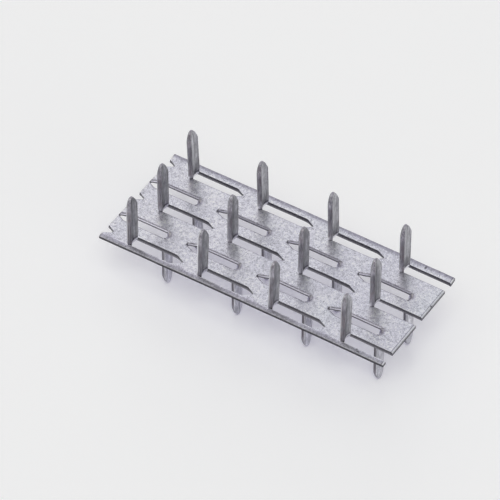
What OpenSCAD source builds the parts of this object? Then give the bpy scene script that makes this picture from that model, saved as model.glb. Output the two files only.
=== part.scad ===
// Double-sided truss nail plate: one galvanised steel sheet with lanced teeth.
// Three rows of teeth are bent up and two rows are bent down, each tooth
// turned out of the slot that lies beside it.
// Frame: X along the plate, Y across it, Z up. The origin is under the middle
// of the plate, on the plane of the downward points. Millimetres.

/* [Plate] */
// Distance from one tooth to the next along a row
pitch = 20; // [20:0.5:26]
// Number of teeth in each row
teeth_per_row = 4; // [2:1:8]
// Thickness of the steel sheet
sheet_t = 1; // [0.8:0.1:1.2]
// Distance from one upward row to the next
row_pitch = 13.55; // [11:0.05:18]
// Number of upward rows; the downward rows lie between them
up_rows = 3; // [2:1:5]
// Centre of the first upward row to the front edge
front_margin = 2.95; // [2.6:0.05:5]
// Centre of the last upward row to the back edge
back_margin = 3.55; // [2.6:0.05:5]
// How far a downward row lies forward of the middle between its neighbours
down_row_shift = 0.7; // [0:0.05:1]
// Radius rolled over the upper long edges by the slitting
edge_roll = 0.45; // [0.2:0.05:0.6]

/* [Slots] */
// Width of every slot
slot_w = 3.1; // [3.1:0.05:3.6]
// Length of the point of a tooth, and of the pointed end of an upward tooth's slot
point_l = 2.5; // [2:0.1:3]
// Length of the pointed end of a downward tooth's slot
down_point_l = 2; // [1.8:0.1:3]
// Width of the small flat at the end of the point
point_flat = 0.4; // [0.2:0.1:0.8]
// Roll-over pressed into the upper rim of the downward slots
rim_roll = 0.22; // [0.1:0.02:0.3]

/* [Teeth] */
// Width of a tooth
tooth_w = 3; // [2.6:0.05:3]
// Upward tooth, from the upper face to its point
up_tooth_h = 14.3; // [8:0.1:15]
// Downward tooth, from the lower face to its point
down_tooth_h = 15; // [8:0.1:16]
// Inner radius of the bend at the root of an upward tooth
bend_r = 0.3; // [0.3:0.05:0.5]
// Inner radius of the bend at the root of a downward tooth, which is rounder
down_bend_r = 0.9; // [0.4:0.05:1]
// Depth of the groove down the face that looks at the slot
groove_d = 0.32; // [0.2:0.02:0.4]
// Radius of that groove
groove_r = 2.6; // [2.2:0.1:3.5]
// Height of the rib on the other face
rib_d = 0.22; // [0.1:0.02:0.26]

/* [Hidden] */
plate_l = pitch * teeth_per_row;
plate_w = front_margin + back_margin + row_pitch * (up_rows - 1);
// heights of the two faces over the plane of the downward points
z_low = down_tooth_h;
z_top = down_tooth_h + sheet_t;
// where the bends start and where the slots end in a point, from the left end
up_bend_x = 7.35;
up_point_x = up_bend_x + 14.95;
down_bend_x = 15.15;
down_point_x = down_bend_x - 14.9;
// rows, from the front edge
up_y = [for (i = [0:up_rows - 1]) front_margin + i * row_pitch];
down_y = [for (i = [0:up_rows - 2]) front_margin + (i + 0.5) * row_pitch - down_row_shift];
x0 = -plate_l / 2;
y0 = -plate_w / 2;
steel = [0.78, 0.79, 0.81];
eps = 0.01;
$fn = 64;

// Section of the sheet across the plate, with rolled upper long edges
module sheet_section() {
    difference() {
        square([plate_w, sheet_t]);
        for (s = [0, 1])
            translate([s * plate_w, sheet_t]) mirror([s, 0])
                difference() {
                    translate([-1, -edge_roll]) square([1 + edge_roll, edge_roll + 1]);
                    translate([edge_roll, -edge_roll]) circle(r = edge_roll);
                }
    }
}

// The slit strip before lancing
module strip() {
    color(steel)
        translate([x0, y0, z_low])
            rotate([90, 0, 90])
                linear_extrude(height = plate_l) sheet_section();
}

// Outline of a slot: straight from x = 0, with a point p long that ends at x = l
module slot_outline(l, w, p) {
    polygon([[0, -w / 2], [l - p, -w / 2], [l, -point_flat / 2],
             [l, point_flat / 2], [l - p, w / 2], [0, w / 2]]);
}

// Cutter for the slot of an upward tooth
module up_slot() {
    translate([0, 0, z_low - 1])
        linear_extrude(height = sheet_t + 2)
            slot_outline(up_point_x - up_bend_x, slot_w, point_l);
}

// Cutter for the slot of a downward tooth, with the roll-over round its upper rim
module down_slot() {
    l = down_bend_x - down_point_x;
    p = down_point_l;
    dy = (slot_w - point_flat) / 2;
    a = atan2(dy, p);
    mirror([1, 0, 0]) {
        translate([0, 0, z_low - 1])
            linear_extrude(height = sheet_t + 2) slot_outline(l, slot_w, p);
        for (s = [-1, 1]) {
            translate([-0.4, s * slot_w / 2, z_top])
                rotate([45, 0, 0])
                    translate([0, -rim_roll, -rim_roll])
                        cube([l - p + 0.4, 2 * rim_roll, 2 * rim_roll]);
            translate([l - p, s * slot_w / 2, z_top])
                rotate([0, 0, -s * a]) rotate([45, 0, 0])
                    translate([0, -rim_roll, -rim_roll])
                        cube([p / cos(a), 2 * rim_roll, 2 * rim_roll]);
        }
    }
}

// Bend of inner radius r and leg of a tooth seen from its side; the sheet ends at x = 0
module tooth_side(h, r) {
    translate([-0.6, -sheet_t]) square([0.6, sheet_t]);
    translate([0, r])
        intersection() {
            difference() {
                circle(r = r + sheet_t);
                circle(r = r);
            }
            translate([0, -(r + sheet_t)]) square(r + sheet_t);
        }
    translate([r, r]) square([sheet_t, h - r]);
}

// Outline of a tooth seen from its slot, pointed at z = h
module tooth_front(h, w, z) {
    polygon([[-w / 2, z], [w / 2, z], [w / 2, h - point_l],
             [point_flat / 2, h], [-point_flat / 2, h], [-w / 2, h - point_l]]);
}

// One tooth that stands h above the face at z = 0, bent to the inner radius r,
// its groove looking along +X
module tooth(h, r) {
    difference() {
        intersection() {
            rotate([90, 0, 0])
                linear_extrude(height = tooth_w, center = true) tooth_side(h, r);
            translate([-1, 0, 0]) rotate([90, 0, 90])
                linear_extrude(height = 4) tooth_front(h, tooth_w, -sheet_t - 1);
        }
        translate([r + sheet_t + groove_r - groove_d, 0, -sheet_t - 1])
            cylinder(r = groove_r, h = h + sheet_t + 2);
    }
    intersection() {
        translate([r + 3.6 - rib_d, 0, -sheet_t / 2]) cylinder(r = 3.6, h = h + 1);
        translate([-1, 0, 0]) rotate([90, 0, 90])
            linear_extrude(height = r + sheet_t / 2 + 1) tooth_front(h, tooth_w - 0.2, -sheet_t / 2);
    }
}

module up_tooth() {
    color(steel) translate([0, 0, z_top]) tooth(up_tooth_h, bend_r);
}

module down_tooth() {
    color(steel) translate([0, 0, z_low]) rotate([0, 180, 0]) tooth(down_tooth_h, down_bend_r);
}

// Finished plate
module nail_plate() {
    difference() {
        strip();
        for (y = up_y, n = [-1:teeth_per_row - 1])
            translate([x0 + up_bend_x + n * pitch, y0 + y, 0]) up_slot();
        for (y = down_y, n = [0:teeth_per_row - 1])
            translate([x0 + down_bend_x + n * pitch, y0 + y, 0]) down_slot();
    }
    for (y = up_y, n = [0:teeth_per_row - 1])
        translate([x0 + up_bend_x + n * pitch, y0 + y, 0]) up_tooth();
    for (y = down_y, n = [0:teeth_per_row - 1])
        translate([x0 + down_bend_x + n * pitch, y0 + y, 0]) down_tooth();
}

nail_plate();
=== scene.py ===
import math

import bpy
import numpy as np
from mathutils import Matrix, Vector


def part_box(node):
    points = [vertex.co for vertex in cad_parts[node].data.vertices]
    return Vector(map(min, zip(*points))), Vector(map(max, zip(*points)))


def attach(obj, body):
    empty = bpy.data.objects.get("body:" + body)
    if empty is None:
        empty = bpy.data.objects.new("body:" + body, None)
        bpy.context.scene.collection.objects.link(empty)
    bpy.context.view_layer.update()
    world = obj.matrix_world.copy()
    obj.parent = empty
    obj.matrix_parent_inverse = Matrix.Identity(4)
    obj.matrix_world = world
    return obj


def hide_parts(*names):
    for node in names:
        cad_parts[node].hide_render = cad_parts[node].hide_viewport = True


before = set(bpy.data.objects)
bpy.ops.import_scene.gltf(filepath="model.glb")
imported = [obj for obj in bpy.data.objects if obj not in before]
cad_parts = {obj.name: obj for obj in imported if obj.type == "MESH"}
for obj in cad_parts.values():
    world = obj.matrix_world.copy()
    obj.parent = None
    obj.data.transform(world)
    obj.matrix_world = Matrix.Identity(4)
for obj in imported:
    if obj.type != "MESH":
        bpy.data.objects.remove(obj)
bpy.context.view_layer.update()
lo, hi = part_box("nail_plate")

# ---------------------------------------------------------------- dimensions
# Millimetres in the flat pattern: u along the plate from its left end, v
# across it from its front edge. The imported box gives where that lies.
X0, Y0, Z0 = lo.x * 1000, lo.y * 1000, lo.z * 1000
L, W, T = 80.0, 33.6, 1.0
PITCH, PER_ROW = 20.0, 4
DOWN_H, UP_H = 15.0, 14.3
Z_MID = Z0 + DOWN_H + T / 2
HW = {"up": 1.66, "down": 1.34}               # half width of a slot where it is cut through
HALF = (1.75, 1.62, 1.75, 1.62, 1.82)         # half width of the teeth, row by row
SHIFT = (-0.30, 0.27, -0.33, 0.27, -0.22)         # how far the row's teeth stand from the bend line's place
ROWS = [("up", 2.95), ("down", 9.025), ("up", 16.5), ("down", 22.575), ("up", 30.05)]
UP_BEND, UP_BEVEL, UP_TIP = 7.40, 19.8, 22.3
DN_BEND, DN_BEVEL, DN_TIP = 14.45, 2.0, 0.05
TIP_HW = 0.2
FRONT = 0.18                                  # the slit front edge stands this far inside the strip's width

# what the punching left on each tooth: lean of its point along X and along Y,
# turn about its own line, and length lost at the point
LEAN = {
    (0, 0): (-0.04, 0.05, 1.0, 0.00), (0, 1): (0.40, -0.05, -1.5, 0.06), (0, 2): (0.40, 0.05, 1.0, 0.03), (0, 3): (0.21, 0.0, -1.0, 0.08),
    (2, 0): (-0.07, 0.0, -1.0, 0.04), (2, 1): (0.05, 0.05, 1.5, 0.02), (2, 2): (0.15, -0.05, 0.5, 0.07), (2, 3): (0.07, 0.0, -1.5, 0.03),
    (4, 0): (-0.58, 0.05, 1.5, 0.02), (4, 1): (-0.36, 0.0, -0.5, 0.05), (4, 2): (-0.30, 0.05, 1.0, 0.04), (4, 3): (0.0, -0.05, -1.0, 0.06),
    (1, 0): (0.10, 0.05, -1.0, 0.00), (1, 1): (-0.10, 0.0, 1.0, 0.02), (1, 2): (0.15, -0.05, 0.5, 0.03), (1, 3): (0.05, 0.05, -0.5, 0.00),
    (3, 0): (-0.10, 0.0, 0.5, 0.00), (3, 1): (0.12, 0.05, -1.0, 0.03), (3, 2): (0.0, -0.05, 1.0, 0.02), (3, 3): (-0.08, 0.0, -0.5, 0.00),
}


def smooth(x):
    x = np.clip(x, 0.0, 1.0)
    return x * x * (3 - 2 * x)


def wave(x, y):
    """Low waviness and slight bow of the punched sheet, in millimetres."""
    return (0.03 - 0.20 * ((x - 35) / 40) ** 2 + 0.022 * np.sin(0.21 * x + 0.6) * np.cos(0.17 * y + 0.4)
            + 0.012 * np.sin(0.63 * x + 0.31 * y)
            + 0.010 * np.cos(0.47 * x - 0.39 * y + 1.2))


# ---------------------------------------------------------------- grid lines
def spans(parts):
    out = []
    for a, b, n in parts:
        out += [a + (b - a) * k / n for k in range(n)]
    return out


one = spans([
    (0, 0.05, 1), (0.05, 2.0, 10), (2.0, 2.3, 2), (2.3, 2.9, 4), (2.9, 4.1, 4), (4.1, 5.9, 3), (5.9, 6.4, 2),
    (6.4, 7.40, 7), (7.40, 7.95, 3), (7.95, 8.95, 3), (8.95, 12.85, 5), (12.85, 13.85, 3), (13.85, 14.45, 3),
    (14.45, 15.25, 7), (15.25, 15.9, 3), (15.9, 17.4, 4), (17.4, 18.6, 3), (18.6, 19.3, 4), (19.3, 19.8, 4),
    (19.8, 20.0, 1),
])
xs = np.array(sorted([n * PITCH + a for n in range(PER_ROW) for a in one] + [L, 0.10, 0.17, 79.61, 79.74, 79.88, 79.95]))
XI = np.array([-1, -0.945, -0.84, -0.66, -0.36, 0, 0.36, 0.66, 0.84, 0.945, 1.0])
NJ = len(XI)


def half_width(kind, x):
    """Half width of a row's band of lines at x: the slot's own, down to its point, and back out again past it."""
    wide = HW[kind]
    out = np.full(x.shape, wide)
    long = UP_TIP - UP_BEVEL if kind == "up" else DN_BEVEL - DN_TIP
    for n in range(-1, PER_ROW + 1):
        if kind == "up":
            a = x - (UP_TIP + n * PITCH)
        else:
            a = (DN_TIP + n * PITCH) - x
        # a is 0 at the point of the slot, negative inside it
        ramp = TIP_HW + (-a) * (wide - TIP_HW) / long
        k = 0.10
        inside = wide - k * np.logaddexp(0, (wide - ramp) / k)       # soft shoulder
        near = np.clip(-a / 0.14, 0, 1)
        inside = np.where((a <= 0) & (a > -0.14), inside * (0.55 + 0.45 * np.sqrt(1 - (1 - near) ** 2)), inside)
        past = TIP_HW * 0.55 + (wide - TIP_HW * 0.55) * smooth(a / 3.0)
        out = np.where((a > -3.2) & (a <= 0), np.minimum(out, inside), out)
        out = np.where((a > 0) & (a < 3.0), np.minimum(out, past), out)
    return out


# every line across the plate: (row, kind of line, value)
lines = []
OUTER = [0.04, 0.12, 0.25, 0.5, 1.0]
lines += [("edge", FRONT, c) for c in (0, 0.02, 0.07, 0.16, 0.32, 0.52, 0.74, 0.87)]
lines += [("out", 0, -d) for d in (0.22, 0.12, 0.04)]
for r, (kind, yc) in enumerate(ROWS):
    lines += [("in", r, xi) for xi in XI]
    if r < len(ROWS) - 1:
        gap = ROWS[r + 1][1] - yc - HW[kind] - HW[ROWS[r + 1][0]]
        lines += [("out", r, d) for d in OUTER]
        if gap > 4:
            lines += [("out", r, 1.5)]
        lines += [("flat", 0, yc + HW[kind] + gap / 2)]
        if gap > 4:
            lines += [("out", r + 1, -1.5)]
        lines += [("out", r + 1, -d) for d in reversed(OUTER)]
lines += [("out", 4, d) for d in (0.04, 0.12, 0.25, 0.5)]
lines += [("edge", W, -c) for c in (1.25, 0.90, 0.60, 0.35, 0.18, 0.08, 0.02, 0)]

hw_rows = [half_width(kind, xs) for kind, _ in ROWS]
ys = np.zeros((len(xs), len(lines)))
row_of, xi_of = np.full(len(lines), -1), np.zeros(len(lines))
for j, (how, a, b) in enumerate(lines):
    if how == "edge":
        ys[:, j] = a + b
    elif how == "flat":
        ys[:, j] = b
    elif how == "in":
        ys[:, j] = ROWS[a][1] + b * hw_rows[a]
        row_of[j], xi_of[j] = a, b
    else:
        d, s = abs(b), math.copysign(1, b)
        w = float(smooth(np.array((d - 0.1) / 1.35)))
        slope = np.gradient(hw_rows[a], xs)
        k = np.sqrt(1 + np.clip(slope, -0.6, 0.6) ** 2)
        ys[:, j] = ROWS[a][1] + s * (hw_rows[a] * (1 - w) + HW[ROWS[a][0]] * w + d * (k * (1 - w) + w))
ys0 = ys.copy()                               # the slots as they were cut, before they closed in
CLOSE = (0.0, 0.03, 0.17, 0.02, 0.19)         # how far the front side of each row's slots closed in, in half widths
WALL_TONE_AND_PAINTED_LIGHT = {3: (1.55, 1.00, 1.05, 1.30), 1: (2.30, 1.95, 1.85, 1.90)}      # how much brighter than bare steel each lower slot's sheared wall is: partly its burnished band, partly painted light set slot by slot
for r, (kind, yc) in enumerate(ROWS):
    g = np.zeros(len(xs))
    for n in range(PER_ROW):
        b, tip, way = (UP_BEND, UP_TIP, 1) if kind == "up" else (DN_BEND, DN_TIP, -1)
        along = (xs - b - n * PITCH) * way
        g = np.maximum(g, smooth(along / 1.6) * (1 - smooth((along - abs(tip - b)) / 1.0)))
    pull = CLOSE[r] * g * hw_rows[r]
    for j, (how, a, b) in enumerate(lines):
        if a == r and how == "in" and b < 0:
            ys[:, j] += pull * -b
        elif a == r and how == "out" and b < 0:
            ys[:, j] += pull * float(1 - smooth(np.array(-b / 1.6)))
first_in = {r: next(j for j, l in enumerate(lines) if l[0] == "in" and l[1] == r) for r in range(5)}
NX, NY = len(xs), len(lines)
GX = np.repeat(xs[:, None], NY, 1)


# ------------------------------------------------------- shape of one tooth
def bend_table(length, n=400):
    """Turn of the strip through a right angle: (arc length, along, up) of its middle plane."""
    t = np.linspace(0, 1, n + 1)
    turn = math.pi / 2 * (0.45 * t + 0.55 * smooth(t))
    ds = length / n
    mid = (turn[1:] + turn[:-1]) / 2
    a = np.concatenate([[0], np.cumsum(np.cos(mid)) * ds])
    c = np.concatenate([[0], np.cumsum(np.sin(mid)) * ds])
    return t * length, a, c


BEND = {"up": bend_table(1.66), "down": bend_table(1.42)}
ARCH = {"up": 0.50, "down": 0.70}


def start_of(xi, kind):
    """The bend begins earlier in the middle of the tooth, so that its root is a shallow arch."""
    return -ARCH[kind] * (1 - np.clip(np.abs(xi), 0, 1) ** 2)


def tooth_point(s, xi, width, key, s_tip, up_h):
    """Middle plane of a tooth in its own frame: a along from the bend line, v across, c up from the plate's middle plane."""
    kind = ROWS[key[0]][0]
    b_s, b_a, b_c = BEND[kind]
    arc, reach, rise = b_s[-1], b_a[-1], b_c[-1]
    s0 = start_of(xi, kind)
    q = s - s0
    a = np.where(q <= 0, s, np.where(q < arc, s0 + np.interp(q, b_s, b_a), s0 + reach))
    c = np.where(q <= 0, 0.0, np.where(q < arc, np.interp(q, b_s, b_c), rise + q - arc))
    # above the root the channel settles to its own depth
    if kind == "up":
        a = a + 0.12 * (1 - xi ** 2) * smooth((s - 1.2) / 3.2)
    else:
        a = a - 0.36 * xi ** 2 * smooth((s - 2.0) / 3.2)
    a = a + SHIFT[key[0]] * (smooth((s - 0.2) / 1.6) if kind == "up" else smooth((s - 1.2) / 2.4))
    v = xi * width * (1 - 0.032 * xi ** 2 * smooth(s / 1.5))
    lean_a, lean_v, turn, _ = LEAN[key]
    up = np.clip((c - 0.6) / (up_h - 0.6), 0, 1.1)
    ang = math.radians(turn) * smooth(up * 1.2)
    da, dv = a - reach, v
    a2 = reach + da * np.cos(ang) - dv * np.sin(ang)
    v2 = da * np.sin(ang) + dv * np.cos(ang)
    a = np.where(q <= 0, a, a2) + lean_a * up ** 1.15
    v = np.where(q <= 0, v, v2) + lean_v * up ** 1.15
    return a, v, c


def tooth_half_width(s, s_tip, kind, row):
    u = s_tip - s
    k = 0.10
    half = HALF[row]
    hw = 0.72 + (half - 0.72) / 1.90 * u
    hw = half - k * np.logaddexp(0, (half - hw) / k)
    cap = np.clip(u / 0.55, 0, 1)
    hw = hw * (0.30 + 0.70 * np.sqrt(1 - (1 - cap) ** 2))
    begin = 1.0 if kind == "up" else 1.6
    root = HW[kind] + (half - HW[kind]) * smooth((s - begin) / 1.4)
    return np.where(s < 4, root, hw)


# painted light and shade across a tooth, row by row: each face of the channel made lighter or darker by how it meets
# the light
ACROSS = [-1.0, -0.84, -0.66, -0.36, 0.0, 0.36, 0.66, 1.0]
TOOTH_PAINTED_SHADING = {
    0: [0.92, 0.84, 0.74, 0.78, 0.99, 1.06, 1.03, 1.00],
    2: [0.76, 0.64, 0.56, 0.62, 0.88, 1.08, 1.03, 1.02],
    4: [0.78, 0.74, 0.80, 1.20, 0.80, 0.93, 0.94, 0.98],
    1: [1.26, 1.22, 1.32, 1.25, 1.18, 1.22, 1.14, 1.04],
    3: [1.26, 1.22, 1.32, 1.25, 1.18, 1.22, 1.14, 1.04],
}


def tooth_rows(s_tip):
    s = spans([(0, 1.70, 17), (1.70, 3.0, 6), (3.0, s_tip - 2.9, 9)])
    s += [s_tip - u for u in (2.9, 2.6, 2.4, 2.2, 2.0, 1.8, 1.5, 1.15, 0.8, 0.5, 0.34, 0.22, 0.13, 0.07, 0.03, 0.0)]
    return np.array(s)


def tip_of(key):
    kind, yc = ROWS[key[0]]
    b_s, _, b_c = BEND[kind]
    if kind == "up":
        height = UP_H + T / 2 - wave(UP_BEND + key[1] * PITCH, yc)
    else:
        height = DOWN_H + T / 2 + wave(DN_BEND + key[1] * PITCH, yc)
    return b_s[-1] + start_of(0.0, kind) + height - b_c[-1] - LEAN[key][3]


def roll(d, wide, deep):
    """Drop of a rolled edge at distance d from it."""
    k = np.clip(1 - d / wide, 0, 1)
    return deep * (1 - np.sqrt(np.clip(1 - k * k, 0, 1)))


def slope(d, wide, deep, power=1.25):
    """Drop of an edge that leans over evenly."""
    return deep * np.clip(1 - d / wide, 0, 1) ** power


# ------------------------------------------------------------ middle surface
class Cloud:
    """Vertices of the middle surface with their normals, thickness offsets and marks."""

    def __init__(self):
        self.p, self.n, self.uv = [], [], []
        self.dt, self.db, self.tooth, self.rim, self.seed = [], [], [], [], []
        self.more = []
        self.count = 0

    def add(self, p, n, uv, dt, db, tooth, rim, seed, more):
        m = len(p)
        self.more.append(np.stack([np.broadcast_to(np.asarray(c, float), m) for c in more], -1))
        for store, value in zip((self.p, self.n, self.uv, self.dt, self.db, self.tooth, self.rim, self.seed),
                                (p, n, uv, dt, db, tooth, rim, seed)):
            store.append(np.broadcast_to(value, (m,) + np.shape(value)[1:]) if np.ndim(value) else np.full(m, float(value)))
        self.count += m
        return np.arange(self.count - m, self.count)


def seg_distance(px, py, ax, ay, bx, by):
    dx, dy = bx - ax, by - ay
    t = np.clip(((px - ax) * dx + (py - ay) * dy) / (dx * dx + dy * dy), 0, 1)
    return np.hypot(px - ax - t * dx, py - ay - t * dy)


curl = 0.31 * smooth((ys - 31.75) / 1.85)
P = np.stack([GX + X0, ys + Y0, np.full(GX.shape, Z_MID) + wave(GX, ys) + curl], -1)
# the points of the slots stand a little off their nominal places
for r, (kind, yc) in enumerate(ROWS):
    for n in range(PER_ROW):
        if kind == "up":
            tip, dx, dy = UP_TIP + n * PITCH, -0.13, 0.20
        else:
            tip, dx, dy = DN_TIP + n * PITCH, -0.40 if n else 0.0, 0.36
        k = np.exp(-((GX - tip) / 1.15) ** 2 - ((ys - yc) / 0.95) ** 2)
        P[..., 0] += dx * k
        P[..., 1] += dy * k * (1 if kind == "up" else smooth((ys - yc + 0.25) / 0.5))
NRM = np.zeros_like(P)
h = 0.02
NRM[..., 0] = -(wave(GX + h, ys) - wave(GX - h, ys)) / (2 * h)
NRM[..., 1] = -(wave(GX, ys + h) - wave(GX, ys - h) + 0.31 * (smooth((ys + h - 31.75) / 1.85) - smooth((ys - h - 31.75) / 1.85))) / (2 * h)
NRM[..., 2] = 1
NRM /= np.linalg.norm(NRM, axis=-1, keepdims=True)
drop_t, drop_b, lift_t, lift_b = (np.zeros(GX.shape) for _ in range(4))
near = np.full(GX.shape, 9.0)
# The shading array is painted light: it darkens the coating's colour along slot rims, the front and back edges and the
# tooth bends (painted shade), and lightens one line at the upward bends (painted highlight).
taper, wall_tone_and_painted_light, painted_shading, fleck_and_edge_highlight, below = np.zeros(GX.shape), np.ones(GX.shape), np.ones(GX.shape), np.zeros(GX.shape), np.zeros(GX.shape)

# distance of every point to the cut edges of the slots, with the roll-over on the side the punch came from
for r, (kind, yc) in enumerate(ROWS):
    for n in range(-1, PER_ROW + 1):
        if kind == "up":
            if n > PER_ROW - 1:
                continue
            b, v0, tip, s = UP_BEND + n * PITCH, UP_BEVEL + n * PITCH, UP_TIP + n * PITCH, 1
        else:
            if n < 0:
                continue
            b, v0, tip, s = DN_BEND + n * PITCH, DN_BEVEL + n * PITCH, DN_TIP + n * PITCH, -1
        hw = HW[kind]
        pts = [(b, -hw), (v0, -hw), (tip, -TIP_HW), (tip, TIP_HW), (v0, hw), (b, hw)]
        sel = (np.abs(ys0 - yc) < hw + 1.4) & (GX > min(b, tip) - 1.5) & (GX < max(b, tip) + 1.5)
        px, py = GX[sel], ys0[sel] - yc
        d = np.full(px.shape, 9.0)
        for (ax, ay), (bx, by) in zip(pts, pts[1:]):
            d = np.minimum(d, seg_distance(px, py, ax, ay, bx, by))
        along = (px - b) * s                            # from the bend towards the point
        grow = smooth(along / 0.6)
        # lines of the grid that lie on the slot's edge are on the cut itself
        jj = np.broadcast_to(np.arange(NY)[None, :], GX.shape)[sel]
        on = (row_of[jj] == r) & (np.abs(np.abs(xi_of[jj]) - 1) < 1e-6) & (along >= 0) & (along <= abs(tip - b) + 1e-6)
        d = np.where(on, 0.0, d)
        burr = -0.035 * np.exp(-d / 0.07) * grow
        if kind == "up":
            drop_b[sel] = np.maximum(drop_b[sel], roll(d, 0.12, 0.07) * grow)
            lift_t[sel] = np.minimum(lift_t[sel], burr)
            taper[sel] = np.where(on, ((0.22 if n < 3 else 0.10) - 0.50 * smooth((px - v0 + 0.3) / (tip - v0))) * grow, taper[sel])
            # painted shade: a thin dark line along the front rims of the upper slots
            if r > 0:
                painted_shading[sel] = np.minimum(painted_shading[sel], 1 - 0.42 * np.exp(-(d / 0.13) ** 2) * grow * (py < 0))
            fleck_and_edge_highlight[sel] = np.maximum(fleck_and_edge_highlight[sel], np.exp(-((px - tip - 0.05) / 0.50) ** 2 - (py / 0.75) ** 2))
            fleck_and_edge_highlight[sel] = np.maximum(fleck_and_edge_highlight[sel], np.exp(-((px - b + 0.05) / 0.45) ** 2 - ((np.abs(py) - hw - 0.05) / 0.32) ** 2))
        else:
            end = np.exp(-((px - tip) / 1.3) ** 2)
            # painted shade: a dark band along the rolled rims of the lower slots, strongest near their points
            painted_shading[sel] = np.minimum(painted_shading[sel], 1 - (0.84 + 0.08 * end) * np.exp(-(d / 0.19) ** 2) * (0.10 + 0.90 * smooth(along / 1.8)))
            wide = 0.30 + 0.22 * np.exp(-((px - tip) / 0.9) ** 2)
            deep = 0.12 + 0.10 * np.exp(-((px - tip) / 0.9) ** 2)
            drop_t[sel] = np.maximum(drop_t[sel], roll(d, wide, deep) * (0.22 + 0.78 * grow))
            lift_b[sel] = np.minimum(lift_b[sel], burr)
        near[sel] = np.minimum(near[sel], d)
        lit = 0.0 if kind == "up" else WALL_TONE_AND_PAINTED_LIGHT[r][min(n, PER_ROW - 1)] * (1 + (0.9 if r == 3 else 0.0) * np.exp(-((px - tip) / 2.6) ** 2))
        wall_tone_and_painted_light[sel] = np.where(on, 1 + grow * lit, wall_tone_and_painted_light[sel])
front_d, back_d = ys - FRONT, W - ys
# painted shade: the front edge's cut wall is darkened
wall_tone_and_painted_light[:, 0] = 0.52
end_d = np.minimum(GX, L - GX)
drop_t = np.maximum(drop_t, slope(front_d, 0.90, 0.23) + roll(front_d, 0.14, 0.05))
drop_b = np.maximum(drop_b, roll(front_d, 0.06, 0.03))
drop_t = np.maximum(drop_t, slope(back_d, 1.25, 0.05, 1.5) + roll(back_d, 0.10, 0.03))
drop_b = np.maximum(drop_b, roll(back_d, 0.06, 0.03))
drop_t = np.maximum(drop_t, slope(end_d, 0.42, 0.09, 1.2) + roll(end_d, 0.12, 0.05))
drop_b = np.maximum(drop_b, roll(end_d, 0.15, 0.05))
near = np.minimum(near, np.minimum(np.minimum(front_d, back_d), end_d))
# painted shade: a darker band along the rolled front edge, a little lighter towards the left end, and a darker band
# along the curled back edge
painted_shading = np.minimum(painted_shading, 1 - (0.42 - 0.07 * smooth((16 - GX) / 6)) * (1 - smooth((front_d - 0.70) / 0.42)))
painted_shading = np.minimum(painted_shading, 1 - 0.52 * (1 - smooth((back_d - 0.15) / 1.1)))
drop_t, drop_b = np.minimum(drop_t, 0.44) + lift_t, np.minimum(drop_b, 0.44) + lift_b

# the root of each tooth reaches into the plate where its bend begins early
cloud = Cloud()
roots = {}
for r, (kind, yc) in enumerate(ROWS):
    for n in range(PER_ROW):
        key = (r, n)
        b = (UP_BEND if kind == "up" else DN_BEND) + n * PITCH
        s = 1 if kind == "up" else -1
        up_h = UP_H if kind == "up" else DOWN_H
        s_tip = tip_of(key)
        ib = int(np.argmin(np.abs(xs - b)))
        roots[key] = (ib, b, s, s_tip, up_h)

        def at(ss, xi, width, key=key, b=b, s=s, s_tip=s_tip, up_h=up_h, yc=yc):
            a, v, c = tooth_point(ss, xi, width, key, s_tip, up_h)
            base = wave(b, yc + xi * HW[ROWS[key[0]][0]])
            return np.stack([X0 + b + s * a, Y0 + yc + v, Z_MID + base + s * c], -1)

        roots[key] += (at,)
        idx = [i for i in range(NX) if 0 <= (b - xs[i]) * s < 0.9]
        for i in idx:
            js = np.arange(first_in[r], first_in[r] + NJ)
            xi = XI
            ss = np.full(NJ, (xs[i] - b) * s)
            width = np.full(NJ, hw_rows[r][i])
            q = ss - start_of(xi, kind)
            bent = q > 0
            p0 = at(ss, xi, width)
            e = 1e-3
            ps, pm = at(ss + e, xi, width), at(ss - e, xi, width)
            xv1, xv0 = np.clip(xi + 0.03, -1, 1), np.clip(xi - 0.03, -1, 1)
            pv1, pv0 = at(ss, xv1, width), at(ss, xv0, width)
            nn = np.cross((ps - pm) * s, pv1 - pv0)
            nn /= np.linalg.norm(nn, axis=-1, keepdims=True)
            k = smooth(np.clip(q / 0.25, 0, 1))[:, None] * (np.abs(xi) < 0.999)[:, None]
            flat_p = P[i, js].copy()
            P[i, js] = np.where(bent[:, None], p0, flat_p)
            across = yc + xi * HW[kind]
            P[i, js, 2] = np.where(bent, p0[:, 2] - wave(b, across) + wave(xs[i], across), flat_p[:, 2])
            mixed = NRM[i, js] * (1 - k) + nn * k
            NRM[i, js] = mixed / np.linalg.norm(mixed, axis=-1, keepdims=True)
            if kind == "down":
                below[i, js] = smooth(q / 0.3)
                # painted shade: a faint dark crescent where the downward bend begins and a dark line where it turns
                # from view
                painted_shading[i, js] = np.minimum(painted_shading[i, js], 1 - 0.16 * np.exp(-((q - 0.10) / 0.22) ** 2) - 0.74 * np.exp(-((q - 0.86) / 0.24) ** 2))

grid_ids = cloud.add(P.reshape(-1, 3), NRM.reshape(-1, 3), np.stack([GX, ys], -1).reshape(-1, 2),
                     drop_t.ravel(), drop_b.ravel(), np.zeros(P.shape[0] * P.shape[1]), near.ravel(),
                     np.zeros(P.shape[0] * P.shape[1]),
                     (taper.ravel(), wall_tone_and_painted_light.ravel(), painted_shading.ravel(), 1.0, below.ravel(), fleck_and_edge_highlight.ravel())).reshape(NX, NY)

quads = []


def add_quads(ids, keep, flip=False):
    a, b, c, d = ids[:-1, :-1][keep], ids[1:, :-1][keep], ids[1:, 1:][keep], ids[:-1, 1:][keep]
    q = np.stack([a, b, c, d], -1)
    quads.append(q[:, ::-1] if flip else q)


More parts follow.
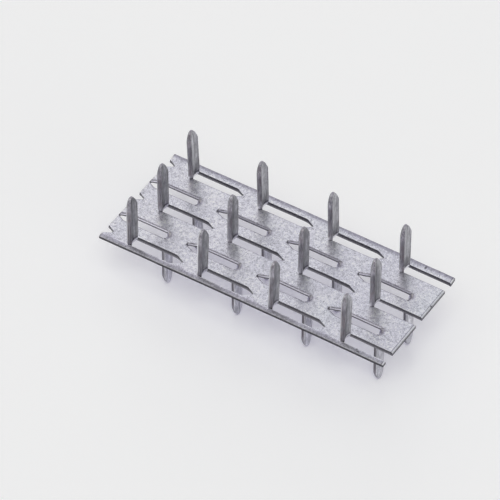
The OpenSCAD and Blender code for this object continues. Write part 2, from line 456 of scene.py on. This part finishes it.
keep = np.ones((NX - 1, NY - 1), bool)
xm = (xs[1:] + xs[:-1]) / 2
for r, (kind, yc) in enumerate(ROWS):
    for n in range(-1, PER_ROW + 1):
        if kind == "up":
            inside = (xm > UP_BEND + n * PITCH) & (xm < UP_TIP + n * PITCH) & (n <= PER_ROW - 1)
        else:
            inside = (xm > DN_TIP + n * PITCH) & (xm < DN_BEND + n * PITCH) & (n >= 0)
        keep[np.ix_(inside, np.arange(first_in[r], first_in[r] + NJ - 1))] = False
add_quads(grid_ids, keep)

for key, (ib, b, s, s_tip, up_h, at) in roots.items():
    r, n = key
    yc = ROWS[r][1]
    kind, half = ROWS[r][0], HALF[r]
    rows = tooth_rows(s_tip)
    ss, xi = np.meshgrid(rows, XI, indexing="ij")
    width = tooth_half_width(rows, s_tip, kind, r)[:, None] * np.ones_like(xi)
    p0 = at(ss, xi, width)
    e = 1e-3
    # the strip's own normal, from its shape at full width so that the point stays even
    full = np.full(xi.shape, half)
    xi_f = np.clip(xi * width / half, -1, 1)
    dn = np.cross((at(ss + e, xi_f, full) - at(ss - e, xi_f, full)) * s,
                  at(ss, np.clip(xi_f + 0.03, -1, 1), full) - at(ss, np.clip(xi_f - 0.03, -1, 1), full))
    dn /= np.linalg.norm(dn, axis=-1, keepdims=True)
    # positions likewise follow the full strip's channel, narrowed to the point
    point = smooth((ss - (s_tip - 3.4)) / 0.5)[..., None]
    p_full = at(ss, xi_f, full)
    p0 = p0 * (1 - point) + p_full * point
    fall = np.gradient(width, rows, axis=0)
    d_edge = (1 - np.abs(xi)) * width / np.sqrt(1 + np.clip(fall, -3, 3) ** 2)
    d_edge = np.minimum(d_edge, (s_tip - ss) + 0.0)
    d_edge = np.where((np.abs(np.abs(xi) - 1) < 1e-6) | (ss >= s_tip - 1e-9), 0, np.maximum(d_edge, 0.004))
    grow = smooth(ss / 0.9)
    rolled, burr = roll(d_edge, 0.14, 0.10) * grow, roll(d_edge, 0.04, 0.02) * grow
    # the metal is a little thicker along the leg and thins to its point
    fat = -0.09 * smooth((ss - 0.8) / 1.6) + 0.24 * np.clip(1 - (s_tip - ss) / 1.7, 0, 1) ** 1.5
    # the face the punch met is the outer one of an upward tooth's own slot side
    dt, db = (rolled + fat, burr + fat) if s > 0 else (burr + fat, rolled + fat)
    uu = b + s * ss
    vv = yc + xi * width
    m = len(rows)
    q = ss - start_of(xi, kind)
    arc = BEND[kind][0][-1]
    # painted shade and highlight at the bends: dark lines where each bend turns from view, a light arc on the upward
    # bends, and a gentle darkening of the upper part of the downward teeth
    if kind == "up":
        tooth = smooth((q - 1.12) / 0.45)
        painted_bend_shading = (1 - 0.78 * np.exp(-((q - arc - 0.20) / 0.19) ** 2)) * (1 - 0.66 * np.exp(-((q - 1.02) / 0.11) ** 2)) * (1 + 0.55 * np.exp(-((q - 1.36) / 0.16) ** 2))
    else:
        tooth = smooth((q - 1.15) / 0.6)
        painted_bend_shading = 1 - 0.16 * np.exp(-((q - 0.10) / 0.22) ** 2) - 0.74 * np.exp(-((q - 0.86) / 0.24) ** 2) - 0.12 * np.exp(-((ss - 4.2) / 1.8) ** 2)
    seed = np.full(ss.shape, ((r * 7 + n * 3 + 5) * 0.137) % 1.0 * 0.98 + 0.01)
    ids = np.empty((m, NJ), int)
    ids[0] = grid_ids[ib, first_in[r]:first_in[r] + NJ]
    # on the teeth the wall values are painted light: cut faces darker at the root, lighter on the bevel at the point
    ids[1:] = cloud.add(p0[1:].reshape(-1, 3), dn[1:].reshape(-1, 3), np.stack([uu, vv], -1)[1:].reshape(-1, 2),
                        dt[1:].ravel(), db[1:].ravel(), tooth[1:].ravel(), d_edge[1:].ravel(),
                        seed[1:].ravel(),
                        (0.0, 0.40 + 0.60 * smooth((ss[1:] - (s_tip - 3.3)) / 0.7).ravel(), painted_bend_shading[1:].ravel(),
                         np.interp(xi[1:], ACROSS, TOOTH_PAINTED_SHADING[r]).ravel(), float(s < 0),
                         ((xi[1:] < -0.93) * smooth((ss[1:] - 1.5) / 2.2) * ((0.25, 0.85, 0.45, 0.30)[n] if r == 0 else 0.0)).ravel())).reshape(m - 1, NJ)
    add_quads(ids, np.ones((m - 1, NJ - 1), bool), flip=s < 0)

mid_p, mid_n, mid_uv = (np.concatenate(c) for c in (cloud.p, cloud.n, cloud.uv))
d_t, d_b, a_tooth, a_near, a_seed = (np.concatenate(c) for c in (cloud.dt, cloud.db, cloud.tooth, cloud.rim, cloud.seed))
quads = np.concatenate(quads)
more = np.concatenate(cloud.more)

# keep only vertices that a face uses
used = np.unique(quads)
remap = np.full(cloud.count, -1)
remap[used] = np.arange(len(used))
quads = remap[quads]
mid_p, mid_n, mid_uv = mid_p[used], mid_n[used], mid_uv[used]
d_t, d_b, a_tooth, a_near, a_seed = d_t[used], d_b[used], a_tooth[used], a_near[used], a_seed[used]
a_taper, a_wall_tone_and_painted_light, a_painted_shading, a_side, a_down, a_fleck_and_edge_highlight = more[used].T
M = len(used)

top = mid_p + mid_n * (T / 2 - d_t)[:, None]
bot = mid_p - mid_n * (T / 2 - d_b)[:, None]

# ---------------------------------------------------------------- cut walls
edges = np.concatenate([quads[:, [0, 1]], quads[:, [1, 2]], quads[:, [2, 3]], quads[:, [3, 0]]])
code = edges[:, 0].astype(np.int64) * M + edges[:, 1]
back = edges[:, 1].astype(np.int64) * M + edges[:, 0]
rim_edges = edges[~np.isin(code, back)]
nxt = np.full(M, -1)
nxt[rim_edges[:, 0]] = rim_edges[:, 1]
prv = np.full(M, -1)
prv[rim_edges[:, 1]] = rim_edges[:, 0]
rim_ids = rim_edges[:, 0]
K = 4
tangent = np.zeros((M, 3))
t1 = mid_p[nxt[rim_ids]] - mid_p[rim_ids]
t0 = mid_p[rim_ids] - mid_p[prv[rim_ids]]
t1 /= np.linalg.norm(t1, axis=1, keepdims=True)
t0 /= np.linalg.norm(t0, axis=1, keepdims=True)
tg = t0 + t1
length = np.linalg.norm(tg, axis=1, keepdims=True)
tg = tg / np.maximum(length, 1e-6)
outward = np.cross(tg, mid_n[rim_ids]) * (length > 1.2)
bot[rim_ids] += outward * a_taper[rim_ids][:, None]
rng = np.random.default_rng(17)
wall_ids = np.full((M, K + 1), -1)
wall_ids[rim_ids, 0] = rim_ids
wall_ids[rim_ids, K] = M + rim_ids
verts = [top, bot]
next_id = 2 * M
wall_h = np.zeros(2 * M)
on_rim = np.zeros(M, bool)
on_rim[rim_ids] = True
# which side was rolled: 0 where the top is, 1 where the bottom is
rolled_top = d_t[rim_ids] >= d_b[rim_ids]
wall_h[:M][rim_ids] = np.where(rolled_top, 0.0, 1.0)
wall_h[M:][rim_ids] = np.where(rolled_top, 1.0, 0.0)
for k in range(1, K):
    f = k / K
    g = np.where(rolled_top, f, 1 - f)            # from the rolled side to the burr
    step = -0.030 * smooth((g - 0.35) / 0.3) + 0.012 * np.sin(g * math.pi)
    rough = rng.normal(0, 0.007, len(rim_ids)) * smooth((g - 0.3) / 0.3)
    p = top[rim_ids] * (1 - f) + bot[rim_ids] * f + outward * (step + rough)[:, None]
    verts.append(p)
    wall_ids[rim_ids, k] = next_id + np.arange(len(rim_ids))
    wall_h = np.concatenate([wall_h, g])
    next_id += len(rim_ids)
verts = np.concatenate(verts)
# nothing stands outside the plate's own box
box_lo, box_hi = (np.array([c.x, c.y, c.z]) * 1000 for c in (lo, hi))
verts = np.clip(verts, box_lo + 0.002, box_hi - 0.002)

faces = [quads, quads[:, ::-1] + M]
walls, wall_edge = [], []
for k in range(K):
    a, b = rim_edges[:, 0], rim_edges[:, 1]
    walls.append(np.stack([wall_ids[b, k], wall_ids[a, k], wall_ids[a, k + 1], wall_ids[b, k + 1]], -1))
walls = np.concatenate(walls)
faces = np.concatenate(faces + [walls])
n_top = len(quads)
n_wall = len(walls)

# -------------------------------------------------- map: flat pattern, sides and cut walls
MAP_W = 97.0
uv = np.zeros((len(faces), 4, 2))
uv[:n_top] = mid_uv[quads] + [8.5, 0.8]
uv[n_top:2 * n_top] = mid_uv[quads[:, ::-1]] * [1, 1] + [8.5, 35.4]
arc = np.zeros(M)
strip = np.zeros(M, int)
seen = np.zeros(M, bool)
row_now, x_now = 0, 0.0
edge_uv = {}
for start in rim_ids:
    if seen[start]:
        continue
    i = int(start)
    while not seen[i]:
        seen[i] = True
        j = int(nxt[i])
        d = float(np.linalg.norm(mid_p[j] - mid_p[i]))
        if x_now + d > 95.0:
            row_now, x_now = row_now + 1, 0.0
        edge_uv[i] = (row_now, x_now, x_now + d)
        x_now += d
    x_now += 0.6
base_v = 70.2
h_strip = 1.05
au = np.array([edge_uv[int(a)] for a in rim_edges[:, 0]])
n_rim = len(rim_edges)
for k in range(K):
    sl = slice(2 * n_top + k * n_rim, 2 * n_top + (k + 1) * n_rim)
    v_lo = base_v + au[:, 0] * (h_strip + 0.3) + h_strip * k / K
    v_hi = base_v + au[:, 0] * (h_strip + 0.3) + h_strip * (k + 1) / K
    uv[sl, 0] = np.stack([au[:, 2] + 0.8, v_lo], -1)
    uv[sl, 1] = np.stack([au[:, 1] + 0.8, v_lo], -1)
    uv[sl, 2] = np.stack([au[:, 1] + 0.8, v_hi], -1)
    uv[sl, 3] = np.stack([au[:, 2] + 0.8, v_hi], -1)
uv /= max(MAP_W, base_v + (row_now + 1) * (h_strip + 0.3) + 0.6)

# ---------------------------------------------------------------- the mesh
mesh = bpy.data.meshes.new("plate_sheet")
mesh.vertices.add(len(verts))
mesh.vertices.foreach_set("co", (verts / 1000).astype(np.float32).ravel())
mesh.loops.add(len(faces) * 4)
mesh.loops.foreach_set("vertex_index", faces.astype(np.int32).ravel())
mesh.polygons.add(len(faces))
mesh.polygons.foreach_set("loop_start", np.arange(0, len(faces) * 4, 4, dtype=np.int32))
mesh.update(calc_edges=True)
layer = mesh.uv_layers.new(name="OFBake")
layer.data.foreach_set("uv", uv.astype(np.float32).ravel())


def mark(name, domain, values):
    made = mesh.attributes.new(name, "FLOAT", domain)
    made.data.foreach_set("value", np.asarray(values, np.float32))


extra = len(verts) - 2 * M
rim_rep = np.concatenate([rim_ids] * (K - 1))
mark("tooth", "POINT", np.concatenate([a_tooth, a_tooth, a_tooth[rim_rep]]))
mark("near", "POINT", np.concatenate([a_near, a_near, np.zeros(extra)]))
mark("seed", "POINT", np.concatenate([a_seed, a_seed, a_seed[rim_rep]]))
mark("height", "POINT", wall_h)
for name, v in (("wall_tone_and_light", a_wall_tone_and_painted_light), ("painted_shading", a_painted_shading), ("side", a_side), ("down", a_down)):
    mark(name, "POINT", np.concatenate([v, v, v[rim_rep]]))
mark("fleck_and_edge_highlight", "POINT", np.concatenate([a_fleck_and_edge_highlight, a_fleck_and_edge_highlight * (a_tooth <= 0), np.zeros(extra)]))
mark("cut", "FACE", np.concatenate([np.zeros(2 * n_top), np.ones(n_wall)]))
mark("under", "FACE", np.concatenate([np.zeros(n_top), np.ones(n_top), np.zeros(n_wall)]))
mesh.polygons.foreach_set("use_smooth", np.ones(len(faces), bool))
mesh.validate()
mesh.set_sharp_from_angle(angle=math.radians(48))
plate = bpy.data.objects.new("plate_sheet", mesh)
bpy.context.scene.collection.objects.link(plate)


# ---------------------------------------------------------------- materials
class Nodes:
    def __init__(self, name):
        self.m = bpy.data.materials.new(name)
        self.m.use_nodes = True
        self.t = self.m.node_tree
        self.bsdf = self.t.nodes["Principled BSDF"]

    def node(self, kind, **props):
        n = self.t.nodes.new(kind)
        for k, v in props.items():
            setattr(n, k, v)
        return n

    def set(self, socket, value):
        if isinstance(value, bpy.types.NodeSocket):
            self.t.links.new(value, socket)
        else:
            socket.default_value = value

    def attr(self, name):
        return self.node("ShaderNodeAttribute", attribute_name=name).outputs["Fac"]

    def math(self, op, a, b=0.0, c=0.0, clamp=False):
        n = self.node("ShaderNodeMath", operation=op, use_clamp=clamp)
        for k, v in enumerate((a, b, c)):
            self.set(n.inputs[k], v)
        return n.outputs[0]

    def ramp(self, x, lo_in, hi_in, lo_out=0.0, hi_out=1.0):
        n = self.node("ShaderNodeMapRange", interpolation_type="SMOOTHSTEP")
        for k, v in enumerate((x, lo_in, hi_in, lo_out, hi_out)):
            self.set(n.inputs[k], v)
        return n.outputs[0]

    def mix(self, f, a, b):
        n = self.node("ShaderNodeMix", data_type="RGBA")
        self.set(n.inputs[0], f)
        self.set(n.inputs[6], a)
        self.set(n.inputs[7], b)
        return n.outputs[2]

    def mixf(self, f, a, b):
        n = self.node("ShaderNodeMix", data_type="FLOAT")
        self.set(n.inputs[0], f)
        self.set(n.inputs[2], a)
        self.set(n.inputs[3], b)
        return n.outputs[0]

    def place(self, scale):
        c = self.node("ShaderNodeTexCoord").outputs["Object"]
        m = self.node("ShaderNodeMapping")
        self.set(m.inputs["Vector"], c)
        m.inputs["Scale"].default_value = tuple(1000 * x for x in scale)
        return m.outputs[0]

    def noise(self, vec, scale, detail=2.0, rough=0.5, distort=0.0):
        n = self.node("ShaderNodeTexNoise")
        self.set(n.inputs["Vector"], vec)
        n.inputs["Scale"].default_value = scale
        n.inputs["Detail"].default_value = detail
        n.inputs["Roughness"].default_value = rough
        n.inputs["Distortion"].default_value = distort
        return n.outputs["Fac"]

    def cells(self, vec, scale):
        n = self.node("ShaderNodeTexVoronoi")
        self.set(n.inputs["Vector"], vec)
        n.inputs["Scale"].default_value = scale
        return n.outputs

    def scale_colour(self, colour, f):
        n = self.node("ShaderNodeVectorMath", operation="SCALE")
        self.set(n.inputs[0], colour)
        self.set(n.inputs["Scale"], f)
        return n.outputs[0]


z = Nodes("galvanised_sheet")
mm = z.place((1, 1, 1))
cut, tooth, height, near_a, seed = (z.attr(a) for a in ("cut", "tooth", "height", "near", "seed"))
wall_tone_and_light, painted_shading, side, down, fleck_and_edge_highlight = (z.attr(a) for a in ("wall_tone_and_light", "painted_shading", "side", "down", "fleck_and_edge_highlight"))

# zinc: fine spangle, soft mottling, faint cool and warm clouds
cell = z.cells(mm, 1.25)
cell_v = z.node("ShaderNodeSeparateColor")
z.set(cell_v.inputs[0], cell["Color"])
mott = z.noise(mm, 1.6, 3.0, 0.62)
fine = z.noise(mm, 3.4, 2.0, 0.6)
cloud_n = z.noise(mm, 0.10, 2.0, 0.5)
cloud_2 = z.noise(z.place((1.0, 1.0, 1.0)), 0.045, 1.0, 0.5)
zinc = z.mix(z.ramp(cloud_n, 0.36, 0.64), (0.735, 0.735, 0.800, 1), (0.800, 0.798, 0.855, 1))
zinc = z.mix(z.math("MULTIPLY", z.ramp(cloud_2, 0.52, 0.68), 0.30), zinc, (0.750, 0.795, 0.830, 1))
tone = z.math("ADD", z.math("MULTIPLY", z.ramp(mott, 0.34, 0.66), 0.31), z.math("MULTIPLY", cell_v.outputs[0], 0.20))
tone = z.math("ADD", tone, z.math("MULTIPLY", z.ramp(fine, 0.34, 0.66), 0.38))
zinc = z.scale_colour(zinc, z.math("ADD", tone, 0.617))
specks = z.ramp(z.noise(mm, 2.3, 1.0, 0.5), 0.64, 0.71)
zinc = z.mix(z.math("MULTIPLY", specks, 0.70), zinc, (0.40, 0.40, 0.46, 1))

# teeth: the coating is drawn out along them, darker, with fine lines
streak = z.noise(z.place((1, 1, 0.07)), 4.2, 3.0, 0.65)
streak_2 = z.noise(z.place((1, 1, 0.03)), 1.6, 2.0, 0.5)
blotch = z.noise(mm, 0.55, 3.0, 0.6)
drawn = z.mix(z.ramp(streak, 0.34, 0.66), (0.325, 0.322, 0.358, 1), (0.620, 0.618, 0.658, 1))
drawn = z.scale_colour(drawn, z.ramp(streak_2, 0.3, 0.7, 0.86, 1.12))
drawn = z.scale_colour(drawn, z.ramp(blotch, 0.3, 0.7, 0.82, 1.12))
drawn = z.scale_colour(drawn, z.ramp(fine, 0.3, 0.7, 0.90, 1.10))
# painted light and shade across each tooth, row by row
drawn = z.scale_colour(drawn, side)
skin = z.mix(tooth, zinc, drawn)

# cut steel: smooth sheared band next to the rolled side, torn band next to the burr
torn = z.noise(z.place((1, 1, 1)), 3.4, 3.0, 0.7)
# the wall values lighten the sheared band: the lower slots' burnish, with painted light and shade set slot by slot, on
# the front edge and on the teeth
shear = z.ramp(height, z.ramp(wall_tone_and_light, 1.2, 2.0, 0.25, 0.48), z.ramp(wall_tone_and_light, 1.2, 2.0, 0.55, 0.74))
low = z.scale_colour((0.100, 0.096, 0.112), z.ramp(wall_tone_and_light, 0.4, 1.0, 0.60, 1.25))
bare = z.mix(shear, z.scale_colour((0.235, 0.230, 0.254), wall_tone_and_light), low)
bare = z.scale_colour(bare, z.ramp(torn, 0.3, 0.7, 0.75, 1.25))
leg = z.mix(z.ramp(streak, 0.34, 0.66), (0.140, 0.134, 0.158, 1), (0.300, 0.290, 0.325, 1))
leg = z.scale_colour(leg, z.ramp(wall_tone_and_light, 0.40, 1.0, 1.0, 1.75))
# painted highlight: a light line along the rolled edge of the teeth's cut faces
leg = z.mix(z.ramp(height, 0.0, 0.24, 0.62, 0.0), leg, (0.60, 0.60, 0.65, 1))
leg = z.mix(z.math("MULTIPLY", z.ramp(blotch, 0.48, 0.62), 0.35), leg, (0.215, 0.170, 0.185, 1))
leg = z.scale_colour(leg, z.mixf(down, 1.0, 0.78))
bare = z.mix(tooth, bare, leg)
# painted shade: the coating is darkened by the shading values and turned lavender where they darken it
skin = z.scale_colour(skin, painted_shading)
painted_shade_tint = z.node("ShaderNodeVectorMath", operation="MULTIPLY")
z.set(painted_shade_tint.inputs[0], skin)
painted_shade_tint.inputs[1].default_value = (0.985, 0.945, 1.045)
skin = z.mix(z.math("MULTIPLY", z.math("SUBTRACT", 1.0, painted_shading), 1.6, clamp=True), skin, painted_shade_tint.outputs[0])
# painted reflection colour: the downward bends are tinted cool to offset the warm light they mirror
painted_bend_tint = z.node("ShaderNodeVectorMath", operation="MULTIPLY")
z.set(painted_bend_tint.inputs[0], skin)
painted_bend_tint.inputs[1].default_value = (0.985, 0.965, 1.055)
skin = z.mix(z.math("MULTIPLY", down, z.math("SUBTRACT", 1.0, tooth)), skin, painted_bend_tint.outputs[0])

# darker patches where a tooth leaves the sheet, close to its cut edges
corner = z.math("MULTIPLY", z.ramp(tooth, 0.01, 0.20, 0.0, 1.0), z.ramp(tooth, 0.80, 1.0, 1.0, 0.35))
corner = z.math("MULTIPLY", corner, z.ramp(near_a, 0.03, 0.30, 0.55, 0.0))
skin = z.mix(corner, skin, (0.130, 0.124, 0.142, 1))

# marks: a dark line along the right end, painted shade where the end begins to slope, and a paler speckled band on the
# sloping end; a nick in that end and dents on both long strips, drawn as spots of painted shade and highlight on a
# sheet that is not dented; dark and pale specks at the points and bend corners of the upper slots
where = z.node("ShaderNodeSeparateXYZ")
z.set(where.inputs[0], mm)
px_mm, py_mm = where.outputs[0], where.outputs[1]


def spot(cx, cy, rx, ry):
    ax = z.math("DIVIDE", z.math("SUBTRACT", px_mm, cx), rx)
    ay = z.math("DIVIDE", z.math("SUBTRACT", py_mm, cy), ry)
    d = z.math("SQRT", z.math("ADD", z.math("MULTIPLY", ax, ax), z.math("MULTIPLY", ay, ay)))
    return z.ramp(d, 0.55, 1.15, 1.0, 0.0)


dark_specks_and_painted_shade = z.math("MULTIPLY", z.ramp(z.math("ABSOLUTE", z.math("SUBTRACT", px_mm, 39.52)), 0.03, 0.16, 1.0, 0.0), 0.80)
for place_and_size in ((39.90, 5.78, 0.40, 0.34), (32.30, 16.00, 0.36, 0.46), (32.85, -16.15, 0.50, 0.20), (32.35, -15.72, 0.20, 0.22)):
    dark_specks_and_painted_shade = z.math("MAXIMUM", dark_specks_and_painted_shade, spot(*place_and_size))
pale_specks_and_painted_highlight = z.math("MULTIPLY", z.ramp(px_mm, 39.60, 39.74), z.ramp(fine, 0.36, 0.56, 0.35, 0.85))
pale_specks_and_painted_highlight = z.math("MAXIMUM", pale_specks_and_painted_highlight, z.math("MULTIPLY", spot(31.85, 15.6, 0.26, 0.60), 0.7))
pale_specks_and_painted_highlight = z.math("MAXIMUM", pale_specks_and_painted_highlight, z.math("MULTIPLY", fleck_and_edge_highlight, z.ramp(fine, 0.47, 0.55)))
dark_specks_and_painted_shade = z.math("MAXIMUM", dark_specks_and_painted_shade, z.math("MULTIPLY", z.math("MULTIPLY", fleck_and_edge_highlight, z.ramp(fine, 0.47, 0.40)), 0.75))
skin = z.mix(pale_specks_and_painted_highlight, skin, (0.90, 0.90, 0.95, 1))
colour = z.mix(cut, skin, bare)
# painted highlight: a bright line along the left edge of the front row's teeth
painted_edge_highlight = z.math("MULTIPLY", z.math("MULTIPLY", fleck_and_edge_highlight, z.ramp(tooth, 0.6, 1.0)), z.ramp(streak, 0.30, 0.50, 0.55, 1.0))
colour = z.mix(painted_edge_highlight, colour, (0.95, 0.95, 0.99, 1))
colour = z.mix(z.math("MULTIPLY", z.math("MULTIPLY", dark_specks_and_painted_shade, z.math("SUBTRACT", 1.0, tooth)), 0.80), colour, (0.120, 0.115, 0.135, 1))

# wear and painted highlight: bright metal along every edge, partly rubbed, partly a painted highlight
rub_and_painted_highlight = z.math("MULTIPLY", z.ramp(near_a, 0.0, 0.16, 1.0, 0.0), z.ramp(z.noise(mm, 1.1, 2.0, 0.6), 0.42, 0.62))
rub_and_painted_highlight = z.math("MULTIPLY", rub_and_painted_highlight, z.math("SUBTRACT", 1.0, cut))
colour = z.mix(z.math("MULTIPLY", rub_and_painted_highlight, 0.35), colour, (0.90, 0.90, 0.93, 1))

z.set(z.bsdf.inputs["Base Color"], colour)
z.bsdf.inputs["Metallic"].default_value = 1.0
rough = z.math("ADD", z.math("MULTIPLY", z.ramp(mott, 0.3, 0.7), 0.10), z.math("MULTIPLY", cell_v.outputs[1], 0.08))
rough = z.math("ADD", rough, 0.27)
rough = z.mixf(tooth, rough, z.ramp(streak, 0.3, 0.7, 0.36, 0.50))
rough = z.mixf(cut, rough, z.ramp(height, 0.2, 0.6, 0.38, 0.55))
z.set(z.bsdf.inputs["Roughness"], rough)
relief = z.math("ADD", z.math("MULTIPLY", mott, 0.6), z.math("MULTIPLY", fine, 0.35))
relief = z.mixf(tooth, relief, z.math("MULTIPLY", streak, 1.1))
relief = z.mixf(cut, relief, z.math("MULTIPLY", torn, 1.2))
bump = z.node("ShaderNodeBump")
bump.inputs["Strength"].default_value = 0.55
bump.inputs["Distance"].default_value = 0.00004
z.set(bump.inputs["Height"], relief)
z.set(z.bsdf.inputs["Normal"], bump.outputs[0])
mesh.materials.append(z.m)

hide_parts("nail_plate")
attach(plate, "root")

# ---------------------------------------------------------------- floor
floor_mesh = bpy.data.meshes.new("studio_floor")
S = 8.0
floor_mesh.from_pydata([(-S, -S, 0), (S, -S, 0), (S, S, 0), (-S, S, 0)], [], [(0, 1, 2, 3)])
floor = bpy.data.objects.new("studio_floor", floor_mesh)
bpy.context.scene.collection.objects.link(floor)
floor.location = (0, 0, lo.z - 0.00002)
fm = Nodes("paper")
fm.bsdf.inputs["Base Color"].default_value = (0.943, 0.953, 0.888, 1)
fm.bsdf.inputs["Roughness"].default_value = 0.9
fm.bsdf.inputs["Specular IOR Level"].default_value = 0.2
# painted light: the floor glows faintly lavender, lifting and tinting its shadows; its base colour leans warm so that
# the lit floor stays white
fm.bsdf.inputs["Emission Color"].default_value = (0.076, 0.065, 0.144, 1)
fm.bsdf.inputs["Emission Strength"].default_value = 1.0
floor_mesh.materials.append(fm.m)

# ---------------------------------------------------------------- light
world = bpy.data.worlds.new("studio")
bpy.context.scene.world = world
world.use_nodes = True
bg = world.node_tree.nodes["Background"]
bg.inputs["Color"].default_value = (0.313, 0.316, 0.312, 1)
bg.inputs["Strength"].default_value = 1.0


def sun(name, elevation, around, angle, colour):
    """Soft light from a direction; around is measured from straight behind the plate, as the camera sees it."""
    e, a = math.radians(elevation), math.radians(122.4 + around)
    data = bpy.data.lights.new(name, "SUN")
    data.angle = math.radians(angle)
    data.energy = max(colour)
    data.color = [c / max(colour) for c in colour]
    o = bpy.data.objects.new(name, data)
    o.rotation_mode = "QUATERNION"
    toward = Vector((math.cos(e) * math.cos(a), math.cos(e) * math.sin(a), math.sin(e)))
    o.rotation_quaternion = toward.to_track_quat("Z", "Y")
    bpy.context.scene.collection.objects.link(o)


# a white tent: one large key over the camera, and panels all round
sun("key", 58, 180, 34, (0.900, 0.905, 0.893))
sun("tent_back_low", 12, 0, 34, (0.320, 0.320, 0.320))
sun("tent_back_left_low", 12, 45, 34, (0.043, 0.039, 0.010))
sun("tent_front_low", 12, 225, 34, (0.135, 0.138, 0.125))
sun("tent_back_left", 35, 22.5, 46, (0.090, 0.083, 0.067))
sun("tent_front_left", 35, 157.5, 46, (0.010, 0.010, 0.028))
sun("tent_front_right", 35, 202.5, 46, (0.167, 0.167, 0.139))
sun("tent_back_high", 58, 0, 46, (0.140, 0.140, 0.172))
sun("tent_left_high", 58, 120, 50, (0.292, 0.292, 0.258))
sun("tent_front_high", 58, 240, 46, (0.040, 0.040, 0.010))
sun("tent_right_high", 58, 300, 46, (0.086, 0.089, 0.088))
sun("tent_top", 90, 0, 46, (0.082, 0.082, 0.070))

# ---------------------------------------------------------------- camera
cam = bpy.data.cameras.new("camera")
cam.sensor_width = 36
cam.lens = 293.61
cam.clip_start, cam.clip_end = 0.05, 60
camera = bpy.data.objects.new("camera", cam)
bpy.context.scene.collection.objects.link(camera)
right = Vector((0.8445076, 0.5355435, 0.0000459))
back_v = Vector((0.3787029, -0.5972436, 0.7070249))
up_v = Vector((-0.3786700, 0.5970706, 0.7071886))
m = Matrix((right, up_v, back_v)).transposed().to_4x4()
m.translation = Vector((0.3648502, -0.5870087, 0.7091996))
camera.matrix_world = m
bpy.context.scene.camera = camera
bpy.context.scene.view_settings.view_transform = "Standard"
bpy.context.scene.view_settings.look = "None"
